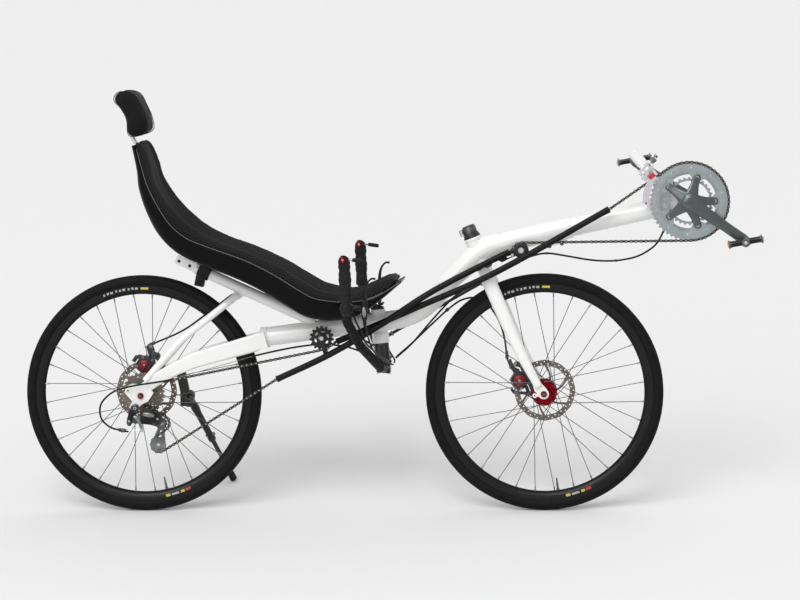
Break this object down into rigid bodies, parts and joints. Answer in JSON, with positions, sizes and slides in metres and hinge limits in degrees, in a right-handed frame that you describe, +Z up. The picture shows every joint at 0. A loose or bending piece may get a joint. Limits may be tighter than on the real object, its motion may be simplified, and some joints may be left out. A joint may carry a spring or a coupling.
{
  "type": "recumbent bicycle",
  "caption": "Two-wheeled recumbent bicycle with a reclined shell seat, under-seat steering, long boom, disc brakes and a side stand, parked leaning on it.",
  "frame": {"origin": "centre of the bounding box at floor level", "axes": "+X forward, +Y to the bicycle's left (the side it leans to on its stand), +Z up"},
  "size_m": [1.9259, 0.6109, 1.0956],
  "materials": {
    "frame_paint": "gloss white paint over aluminium",
    "seat_shell_black": "satin black moulded shell",
    "pad_fabric": "black three-dimensional knit",
    "headrest_fabric": "black knit over foam",
    "bracket_alloy": "brushed",
    "bracket_black": "satin black",
    "chain_tube": "satin black",
    "chain_steel": "oiled",
    "derailleur_front": "polished",
    "derailleur_rear": "satin grey",
    "caliper_black": "black anodised",
    "skewer_steel": "anodised nut, bright lever",
    "cable_black": "satin",
    "tyre_rubber": "matt",
    "rim_black": "black anodised",
    "hub_red": "red anodised",
    "hub_dark": "dark anodised",
    "spoke_steel": "bright",
    "rotor_steel": "ground",
    "cog_steel": "nickel plated",
    "bar_black": "black anodised",
    "grip_tape": "soft matt",
    "shifter_alloy": "polished with black lever",
    "lever_grey": "dark satin",
    "ring_alloy": "satin",
    "crank_grey": "satin dark grey",
    "pedal_black": "satin black",
    "idler_plastic": "moulded",
    "stand_rubber": "matt"
  },
  "bodies": {
    "frame": {"main_frame": "frame_paint", "boom": "frame_paint", "seat_beam": "frame_paint", "chainstays": "frame_paint", "seat_stays": "frame_paint", "seat_shell": "seat_shell_black", "seat_pad": "pad_fabric", "headrest_pad": "headrest_fabric", "headrest_bracket": "bracket_alloy", "seat_rear_clamp": "bracket_black", "seat_front_bracket": "bracket_black", "power_chain_tube": "chain_tube", "return_chain_tube": "chain_tube", "chain": "chain_steel", "idler_brackets": "bracket_black", "front_derailleur": "derailleur_front", "rear_derailleur": "derailleur_rear", "rear_caliper": "caliper_black", "rear_axle": "skewer_steel", "stand_mount": "bracket_black", "rear_brake_cable": "cable_black", "shift_cable_rear": "cable_black", "front_derailleur_cable": "cable_black", "front_brake_cable_rear": "cable_black"},
    "fork": {"fork": "frame_paint", "steerer_clamp": "bracket_black", "front_caliper": "caliper_black", "front_axle": "skewer_steel", "front_brake_cable_front": "cable_black"},
    "front_wheel": {"front_tyre": "tyre_rubber", "front_rim": "rim_black", "front_hub": "hub_red", "front_spokes": "spoke_steel", "front_rotor": "rotor_steel"},
    "rear_wheel": {"rear_tyre": "tyre_rubber", "rear_rim": "rim_black", "rear_hub": "hub_dark", "rear_spokes": "spoke_steel", "rear_rotor": "rotor_steel"},
    "rear_cassette": {"cassette": "cog_steel"},
    "handlebars": {"handlebar": "bar_black", "handlebar_stem": "bracket_black", "grip_left": "grip_tape", "grip_right": "grip_tape", "bar_end_shifters": "shifter_alloy", "brake_lever_left": "lever_grey", "brake_lever_right": "lever_grey", "bar_cables": "cable_black"},
    "tie_rod_link": {"tie_rod": "bracket_black"},
    "crankset": {"chainrings": "ring_alloy", "crank_right": "crank_grey", "crank_left": "crank_grey"},
    "right_pedal": {"pedal_right": "pedal_black"},
    "left_pedal": {"pedal_left": "pedal_black"},
    "chain_idler": {"power_idler": "idler_plastic"},
    "chain_roller": {"return_idler": "idler_plastic"},
    "side_stand": {"stand_leg": "bracket_black", "stand_foot": "stand_rubber"}
  },
  "joints": [
    {"name": "fork_steer", "type": "hinge", "parent": "frame", "child": "fork", "pos_m": [0.22736, 0.00996, 0.66188], "axis": [-0.3584, 0.1829, 0.9155], "range_deg": [-35, 35], "deforming": ["front_brake_cable_front"]},
    {"name": "bar_steer", "type": "hinge", "parent": "frame", "child": "handlebars", "pos_m": [-0.03206, -0.02756, 0.4741], "axis": [-0.0872, 0.1952, 0.9769], "range_deg": [-35, 35], "deforming": ["rear_brake_cable", "shift_cable_rear", "front_derailleur_cable", "front_brake_cable_rear"]},
    {"name": "tie_rod_pivot", "type": "hinge", "parent": "handlebars", "child": "tie_rod_link", "pos_m": [-0.02866, 0.03543, 0.4219], "axis": [-0.087, 0.1361, 0.9869], "range_deg": [-35, 35]},
    {"name": "front_wheel_spin", "type": "hinge", "parent": "fork", "child": "front_wheel", "pos_m": [0.39702, -0.06149, 0.30429], "axis": [0, 0.9806, -0.1959], "continuous": true},
    {"name": "rear_wheel_spin", "type": "hinge", "parent": "frame", "child": "rear_wheel", "pos_m": [-0.65298, -0.06149, 0.30429], "axis": [0, 0.9806, -0.1959], "continuous": true},
    {"name": "crank_spin", "type": "hinge", "parent": "frame", "child": "crankset", "pos_m": [0.77502, 0.03609, 0.79264], "axis": [0, 0.9806, -0.1959], "continuous": true},
    {"name": "cassette_spin", "type": "hinge", "parent": "frame", "child": "rear_cassette", "pos_m": [-0.65298, -0.10071, 0.31213], "axis": [0, 0.9806, -0.1959], "continuous": true},
    {"name": "chain_idler_spin", "type": "hinge", "parent": "frame", "child": "chain_idler", "pos_m": [-0.17998, -0.07927, 0.45775], "axis": [0, 0.9806, -0.1959], "continuous": true},
    {"name": "chain_roller_spin", "type": "hinge", "parent": "frame", "child": "chain_roller", "pos_m": [0.34002, -0.04724, 0.68182], "axis": [0, 0.9806, -0.1959], "continuous": true},
    {"name": "pedal_right_spin", "type": "hinge", "parent": "crankset", "child": "right_pedal", "pos_m": [0.91598, -0.11185, 0.7208], "axis": [0, 0.9806, -0.1959], "continuous": true},
    {"name": "pedal_left_spin", "type": "hinge", "parent": "crankset", "child": "left_pedal", "pos_m": [0.63406, 0.18404, 0.86447], "axis": [0, 0.9806, -0.1959], "continuous": true},
    {"name": "stand_fold", "type": "hinge", "parent": "frame", "child": "side_stand", "pos_m": [-0.54498, 0.02089, 0.26743], "axis": [0.005, 0.9223, 0.3865], "range_deg": [0, 92]}
  ],
  "couplings": [
    {"joint": "bar_steer", "follows": "fork_steer", "ratio": 1},
    {"joint": "tie_rod_pivot", "follows": "fork_steer", "ratio": -1},
    {"joint": "cassette_spin", "follows": "crank_spin", "ratio": 4.5455},
    {"joint": "chain_idler_spin", "follows": "crank_spin", "ratio": -3.3333},
    {"joint": "chain_roller_spin", "follows": "crank_spin", "ratio": -5.0565}
  ]
}
